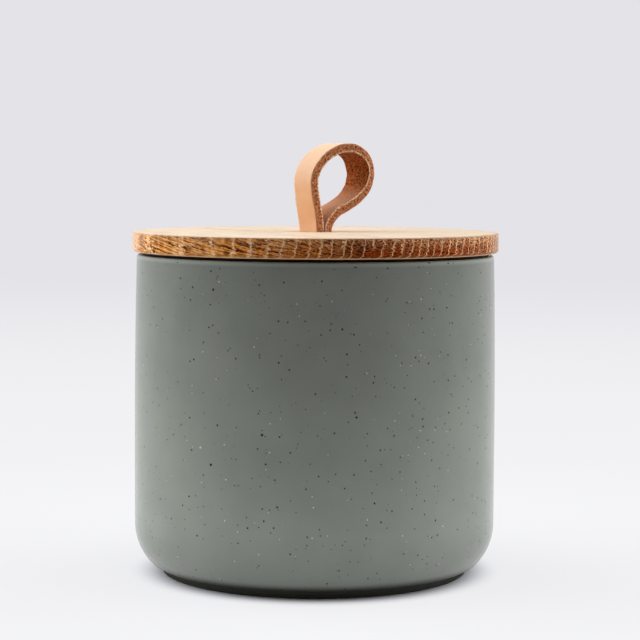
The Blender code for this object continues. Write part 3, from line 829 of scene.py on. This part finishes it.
def brushed_brass():
    """Solid brass, turned and then bright dipped: a warm metal with fine round tool marks."""
    material, add, mm = new_material("brass_turned")
    marks = add("VectorMath", {0: mm, 1: (0.4, 0.4, 14.0)}, **times)
    marks = add("TexNoise", {"Vector": marks, "Scale": 1.0, "Detail": 3.0})
    tarnish = add("TexNoise", {"Vector": mm, "Scale": 1 / 1.8, "Detail": 3.0})
    tarnish = add("MapRange", {0: tarnish, 1: 0.45, 2: 0.75, 3: 0.0, 4: 0.6})
    colour = add("Mix", {0: tarnish, 6: "#DDBE7E", 7: "#B08D4C"}, **rgba)
    roughness = add("MapRange", {0: marks, 1: 0.3, 2: 0.7, 3: 0.22, 4: 0.36})
    relief = add("Bump", {"Strength": 0.3, "Distance": 0.02 * MM, "Height": marks})
    looks = {"Base Color": colour, "Metallic": 1.0, "Roughness": roughness, "Normal": relief}
    add("OutputMaterial", {"Surface": add("BsdfPrincipled", looks)})
    return material


brass = brushed_brass()


def threaded_shank(shape, at, low, high):
    """A shank with a helical ridge, coarse as on wood screws, which runs out to a point."""
    around, rise = 32, 0.10 * MM
    rows = []
    levels = int((high - low) / rise)
    for level in range(levels + 1):
        z = low + (high - low) * level / levels
        taper = min(1.0, (high - z) / run_out + 0.12)
        row = []
        for spoke in range(around):
            angle = 2 * math.pi * spoke / around
            phase = (z / thread_pitch - spoke / around) % 1.0
            ridge = max(0.0, 1 - abs(phase - 0.5) / 0.28)
            radius = (thread_root + (shank_radius - thread_root) * ridge) * taper
            row.append(shape.verts.new((at + radius * math.cos(angle), radius * math.sin(angle), z)))
        rows.append(row)
    for lower, upper in zip(rows, rows[1:]):
        for spoke in range(around):
            after = (spoke + 1) % around
            shape.faces.new((lower[spoke], lower[after], upper[after], upper[spoke]))
    shape.faces.new(rows[0])
    shape.faces.new(list(reversed(rows[-1])))


for side, sign in (("left", -1), ("right", 1)):
    at = sign * screw_place
    seat_crest = seat_inner + (washer_high.z - washer_low.z) - washer_edge
    section = [(washer_radius, washer_high.z)]
    section += arc((washer_radius - washer_edge, washer_high.z - washer_edge), washer_edge, 0, -60, 5)
    section += arc((seat_crest + washer_edge, washer_low.z + washer_edge), washer_edge, -60, -180, 8)
    section += [(seat_inner, washer_high.z - washer_edge), (seat_inner, washer_high.z)]
    washer = turned("washer_cup_" + side, section, brass, steps_small, closed=True, at=(at, 0.0))
    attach(washer, "lid")
    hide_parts("cup_washer_" + side)

    cone_height = head_radius - shank_radius
    head_under = screw_low.z + head_rim
    cone_end = head_under + cone_height
    section = [(0.0, cone_end), (shank_radius, cone_end), (head_radius, head_under)]
    section += arc((0.0, head_under), (head_radius, head_under - screw_low.z), -3, -90, 14)
    head = turned("screw_brass_" + side, section, brass, steps_small, at=(at, 0.0))
    for half_x, half_y in ((recess_reach, recess_width / 2), (recess_width / 2, recess_reach)):
        bit = [(-half_x, screw_low.z - clear), (half_x, screw_low.z - clear)]
        recess_end = screw_low.z + recess_depth
        bit += [(half_x * recess_taper, recess_end), (-half_x * recess_taper, recess_end)]
        bit = prism("bit", [(x + at, z) for x, z in bit], 2 * half_y)
        head = cut(head, bit)
    shape = bmesh.new()
    shape.from_mesh(head.data)
    threaded_shank(shape, at, cone_end - 0.05 * MM, screw_high.z)
    bmesh.ops.recalc_face_normals(shape, faces=shape.faces)
    shape.to_mesh(head.data)
    shape.free()
    head.data.shade_smooth()
    head.data.set_sharp_from_angle(angle=math.radians(sharp_angle))
    head.name = "screw_brass_" + side
    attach(head, "lid")
    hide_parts("tail_screw_" + side)


# The camera: a long lens a little higher than the lid and tilted a little down, as in the photo. It
# looks at the canister from its -Y side, turned 37 degrees. Its tilt and roll are in radians.
view_turn = math.radians(-37)
rightwards = Vector((math.cos(view_turn), math.sin(view_turn), 0.0))
away = Vector((-math.sin(view_turn), math.cos(view_turn), 0.0))
tilt_down = 0.0754
roll = 0.0052
# Its place in mm: how far to the right of the canister's axis, how far off and how high
aside_by, distance_off, lens_height = 1.93, 835.3, 163.5
sensor_width, focal_length = 36.0, 117.7
camera_data = bpy.data.cameras.new("camera")
camera_data.sensor_width = sensor_width
camera_data.lens = focal_length
camera_data.clip_end = 60.0
camera = new_object("camera", camera_data)
forward = away * math.cos(tilt_down) - Vector((0, 0, 1)) * math.sin(tilt_down)
down = -Vector((0, 0, 1)) * math.cos(tilt_down) - away * math.sin(tilt_down)
image_right = rightwards * math.cos(roll) - down * math.sin(roll)
image_down = rightwards * math.sin(roll) + down * math.cos(roll)
camera.matrix_world = Matrix.LocRotScale(
    rightwards * aside_by * MM - away * distance_off * MM + Vector((0, 0, lens_height * MM)),
    Matrix((image_right, -image_down, -forward)).transposed().to_quaternion(),
    None,
)
bpy.context.scene.camera = camera


# The stage: a seamless white sweep in a light tent. Its front is open and dark, its sides, top and
# back are bright, and the sweep fades into the grey-white of the back.
backdrop_colour = "#E4E3E8"
sweep_colour = "#F2F2F4"
sweep_radius = 40.0


def shown_share(add):
    """1 for what the eye, a mirror or a glass sees, and 0 for light that falls on the canister."""
    rays = add("LightPath").node.outputs
    seen = add("Math", {0: rays["Is Camera Ray"], 1: rays["Is Glossy Ray"]}, operation="MAXIMUM")
    return add("Math", {0: seen, 1: rays["Is Transmission Ray"]}, operation="MAXIMUM")


world = bpy.data.worlds.new("light_tent")
bpy.context.scene.world = world
world.use_nodes = True
world.node_tree.nodes.clear()
add = partial(add_node, world.node_tree)
heading = add("TexCoord").node.outputs["Generated"]
# Two soft boxes at the sides, a little behind the canister and above it, and a lamp overhead: for
# each its direction, the cosines where its glow starts and is full, and its strength.
side_angle, side_lift = math.radians(103), math.radians(26)
inwards = -away * math.cos(side_angle) * math.cos(side_lift) + Vector((0, 0, math.sin(side_lift)))
sideways = rightwards * math.sin(side_angle) * math.cos(side_lift)
glow = 0.01
for direction, start, full, strength in (
    (inwards - sideways, 0.57, 1.0, 4.35),
    (inwards + sideways, 0.57, 1.0, 3.75),
    (Vector((0, 0, 1)), 0.86, 1.0, 2.9),
):
    facing = add("VectorMath", {0: heading, 1: direction}, operation="DOT_PRODUCT")
    patch = {0: facing.node.outputs["Value"], 1: start, 2: full, 3: 0.0, 4: strength}
    patch = add("MapRange", patch, **eased)
    glow = add("Math", {0: glow, 1: patch})
seen = add("Background", {"Color": backdrop_colour, "Strength": 1.0})
cast = add("Background", {"Color": "#F7F8FF", "Strength": glow})
mixed = add("MixShader", {0: shown_share(add), 1: cast, 2: seen})
add("OutputWorld", {"Surface": mixed})

material, add, mm = new_material("white_paper_sweep")
distance = add("VectorMath", {0: mm}, operation="LENGTH").node.outputs["Value"]
faded = add("MapRange", {0: distance, 1: 200.0, 2: 2300.0}, **eased)
# The paper's front edge, where the tent is open, gives the canister little light.
ahead = add("VectorMath", {0: mm, 1: away}, operation="DOT_PRODUCT").node.outputs["Value"]
lit = add("MapRange", {0: ahead, 1: -205.0, 2: -115.0, 3: 0.10, 4: 1.0}, **eased)
aside = add("MapRange", {0: distance, 1: 170.0, 2: 420.0, 3: 1.0, 4: 0.4}, **eased)
lit = add("Math", {0: lit, 1: aside}, **times)
white = add("Mix", {0: shown_share(add), 2: lit, 3: 0.66}, data_type="FLOAT")
paper = add("BsdfDiffuse", {"Color": white})
tone = add("Mix", {0: faded, 6: sweep_colour, 7: backdrop_colour}, **rgba)
even = add("Emission", {"Color": tone, "Strength": 1.0})
# The tent lights the paper almost evenly: a soft shade of the canister is left near its base, and
# its whole shade close round the foot.
evened = add("MapRange", {0: distance, 1: 90.0, 2: 420.0, 3: 0.84, 4: 1.0}, **eased)
beside = add("MapRange", {0: distance, 1: 60.5, 2: 75.5}, **eased)
evened = add("Math", {0: evened, 1: beside}, **times)
evened = add("Math", {0: evened, 1: shown_share(add)}, **times)
mixed = add("MixShader", {0: evened, 1: paper, 2: even})
add("OutputMaterial", {"Surface": mixed})
bpy.ops.mesh.primitive_circle_add(vertices=96, radius=sweep_radius, fill_type="NGON")
floor = bpy.context.object
floor.name = "floor"
floor.data.materials.append(material)

bpy.context.scene.view_settings.view_transform = "Standard"
